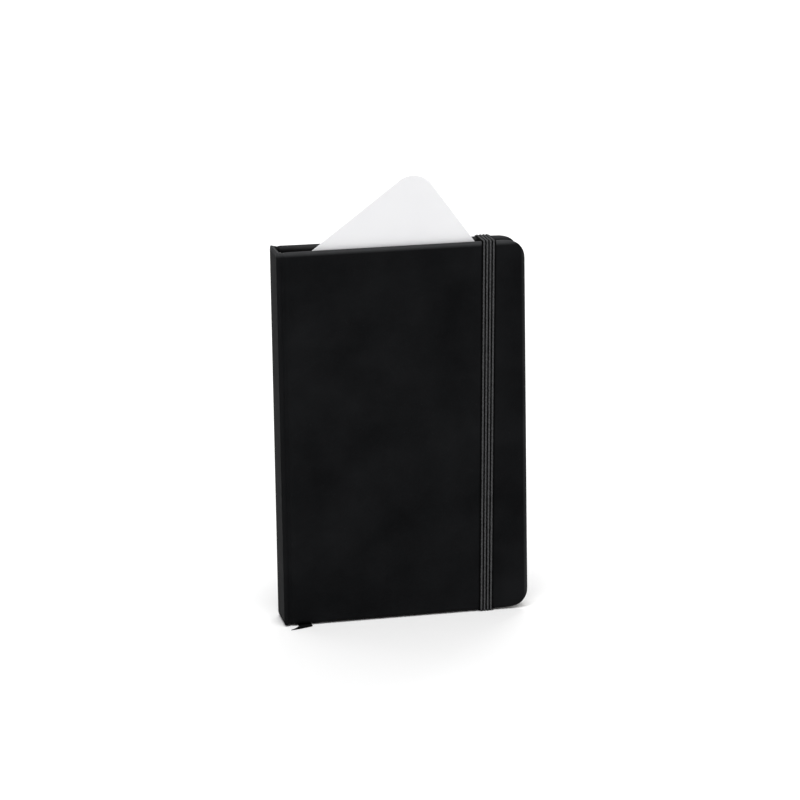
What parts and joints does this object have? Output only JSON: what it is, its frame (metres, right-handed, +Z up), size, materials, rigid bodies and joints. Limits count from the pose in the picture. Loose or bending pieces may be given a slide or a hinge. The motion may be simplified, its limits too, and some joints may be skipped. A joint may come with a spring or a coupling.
{
  "type": "pocket notebook",
  "caption": "Closed hard-cover pocket notebook standing upright, with an elastic band, ribbon marker, rear pocket and a loose white sheet tucked behind the front cover",
  "frame": {"origin": "middle of the bottom of the whole object's box, on the ground the notebook stands on", "axes": "+Z up along the spine, +X from the spine to the fore edge, -Y out of the front cover"},
  "size_m": [0.093, 0.0226, 0.1661],
  "materials": {
    "cover_wrap": "fine-grained soft-touch leatherette, satin",
    "board": "grey binder's board",
    "endpaper": "uncoated ivory endpaper",
    "paper": "uncoated ivory paper",
    "lining": "open-weave spine lining",
    "thread": "waxed white thread",
    "headband": "black woven band",
    "ribbon": "black satin ribbon",
    "elastic": "woven elastic with four lighter ribs",
    "pocket_card": "ivory card",
    "pocket_cloth": "black cloth",
    "sheet": "smooth white card"
  },
  "bodies": {
    "text_block": {"spine_board": "board", "spine_wrap": "cover_wrap", "spine_lining": "lining", "sewing_threads": "thread", "headband": "headband", "tailband": "headband", "ribbon_marker": "ribbon", "signature_06": "paper"},
    "front_cover": {"front_board": "board", "front_infill": "board", "front_cover_wrap": "cover_wrap", "front_pastedown": "endpaper"},
    "back_cover": {"back_board": "board", "back_infill": "board", "back_cover_wrap": "cover_wrap", "back_pastedown": "endpaper", "pocket_strip": "pocket_card", "pocket_gusset_top": "pocket_cloth", "pocket_gusset_bottom": "pocket_cloth", "elastic_top_end": "elastic", "elastic_bottom_end": "elastic"},
    "elastic_band": {"elastic_front_run": "elastic", "elastic_top_loop": "elastic", "elastic_bottom_loop": "elastic"},
    "pocket": {"pocket_panel": "pocket_card"},
    "front_flyleaf": {"front_flyleaf": "endpaper"},
    "back_flyleaf": {"back_flyleaf": "endpaper"},
    "loose_sheet": {"loose_sheet": "sheet"},
    "ribbon_tail": {"ribbon_tail": "ribbon"},
    "signature_01": {"signature_01": "paper"},
    "signature_02": {"signature_02": "paper"},
    "signature_03": {"signature_03": "paper"},
    "signature_04": {"signature_04": "paper"},
    "signature_05": {"signature_05": "paper"},
    "signature_07": {"signature_07": "paper"},
    "signature_08": {"signature_08": "paper"},
    "signature_09": {"signature_09": "paper"},
    "signature_10": {"signature_10": "paper"}
  },
  "joints": [
    {"name": "front_cover_hinge", "type": "hinge", "parent": "text_block", "child": "front_cover", "pos_m": [-0.0446, -0.0062, 0.0706], "axis": [0, 0, -1], "range_deg": [0, 180]},
    {"name": "back_cover_hinge", "type": "hinge", "parent": "text_block", "child": "back_cover", "pos_m": [-0.0446, 0.0107, 0.0706], "axis": [0, 0, 1], "range_deg": [0, 90]},
    {"name": "front_flyleaf_turn", "type": "hinge", "parent": "text_block", "child": "front_flyleaf", "pos_m": [-0.04274, -0.00354, 0.0706], "axis": [0, 0, -1], "range_deg": [0, 43.2]},
    {"name": "signature_01_turn", "type": "hinge", "parent": "text_block", "child": "signature_01", "pos_m": [-0.0426, -0.00293, 0.0706], "axis": [0, 0, -1], "range_deg": [0, 36]},
    {"name": "signature_02_turn", "type": "hinge", "parent": "text_block", "child": "signature_02", "pos_m": [-0.0426, -0.00184, 0.0706], "axis": [0, 0, -1], "range_deg": [0, 28.8]},
    {"name": "signature_03_turn", "type": "hinge", "parent": "text_block", "child": "signature_03", "pos_m": [-0.0426, -0.00076, 0.0706], "axis": [0, 0, -1], "range_deg": [0, 21.6]},
    {"name": "signature_04_turn", "type": "hinge", "parent": "text_block", "child": "signature_04", "pos_m": [-0.0426, 0.00033, 0.0706], "axis": [0, 0, -1], "range_deg": [0, 14.4]},
    {"name": "signature_05_turn", "type": "hinge", "parent": "text_block", "child": "signature_05", "pos_m": [-0.0426, 0.00141, 0.0706], "axis": [0, 0, -1], "range_deg": [0, 7.2]},
    {"name": "signature_07_turn", "type": "hinge", "parent": "text_block", "child": "signature_07", "pos_m": [-0.0426, 0.00393, 0.0706], "axis": [0, 0, 1], "range_deg": [0, 7.2]},
    {"name": "signature_08_turn", "type": "hinge", "parent": "text_block", "child": "signature_08", "pos_m": [-0.0426, 0.00502, 0.0706], "axis": [0, 0, 1], "range_deg": [0, 14.4]},
    {"name": "signature_09_turn", "type": "hinge", "parent": "text_block", "child": "signature_09", "pos_m": [-0.0426, 0.0061, 0.0706], "axis": [0, 0, 1], "range_deg": [0, 21.6]},
    {"name": "signature_10_turn", "type": "hinge", "parent": "text_block", "child": "signature_10", "pos_m": [-0.0426, 0.00719, 0.0706], "axis": [0, 0, 1], "range_deg": [0, 28.8]},
    {"name": "back_flyleaf_turn", "type": "hinge", "parent": "text_block", "child": "back_flyleaf", "pos_m": [-0.0426, 0.00779, 0.0706], "axis": [0, 0, 1], "range_deg": [0, 36]},
    {"name": "pocket_hinge", "type": "hinge", "parent": "back_cover", "child": "pocket", "pos_m": [0.0435, 0.00825, 0.0706], "axis": [0, 0, 1], "range_deg": [0, 9]},
    {"name": "elastic_band_slip", "type": "slide", "parent": "back_cover", "child": "elastic_band", "axis": [0, 1, 0], "range_m": [0, 0.0137], "deforming": ["elastic_front_run", "elastic_top_loop", "elastic_bottom_loop"]},
    {"name": "loose_sheet_slide", "type": "slide", "parent": "front_cover", "child": "loose_sheet", "axis": [-0.587, -0.0309, 0.809], "range_m": [0, 0.072]},
    {"name": "ribbon_tail_lift", "type": "hinge", "parent": "text_block", "child": "ribbon_tail", "pos_m": [-0.0388, -0.0066, 0.00017], "axis": [-1, 0, 0], "range_deg": [0, 80]}
  ],
  "couplings": [
    {"joint": "back_cover_hinge", "follows": "front_cover_hinge", "ratio": 0.5},
    {"joint": "front_flyleaf_turn", "follows": "front_cover_hinge", "ratio": 0.24},
    {"joint": "signature_01_turn", "follows": "front_cover_hinge", "ratio": 0.2},
    {"joint": "signature_02_turn", "follows": "front_cover_hinge", "ratio": 0.16},
    {"joint": "signature_03_turn", "follows": "front_cover_hinge", "ratio": 0.12},
    {"joint": "signature_04_turn", "follows": "front_cover_hinge", "ratio": 0.08},
    {"joint": "signature_05_turn", "follows": "front_cover_hinge", "ratio": 0.04},
    {"joint": "signature_07_turn", "follows": "front_cover_hinge", "ratio": 0.04},
    {"joint": "signature_08_turn", "follows": "front_cover_hinge", "ratio": 0.08},
    {"joint": "signature_09_turn", "follows": "front_cover_hinge", "ratio": 0.12},
    {"joint": "signature_10_turn", "follows": "front_cover_hinge", "ratio": 0.16},
    {"joint": "back_flyleaf_turn", "follows": "front_cover_hinge", "ratio": 0.2},
    {"joint": "pocket_hinge", "follows": "front_cover_hinge", "ratio": 0.05},
    {"joint": "elastic_band_slip", "follows": "front_cover_hinge", "m_per_rad": 0.00436}
  ]
}
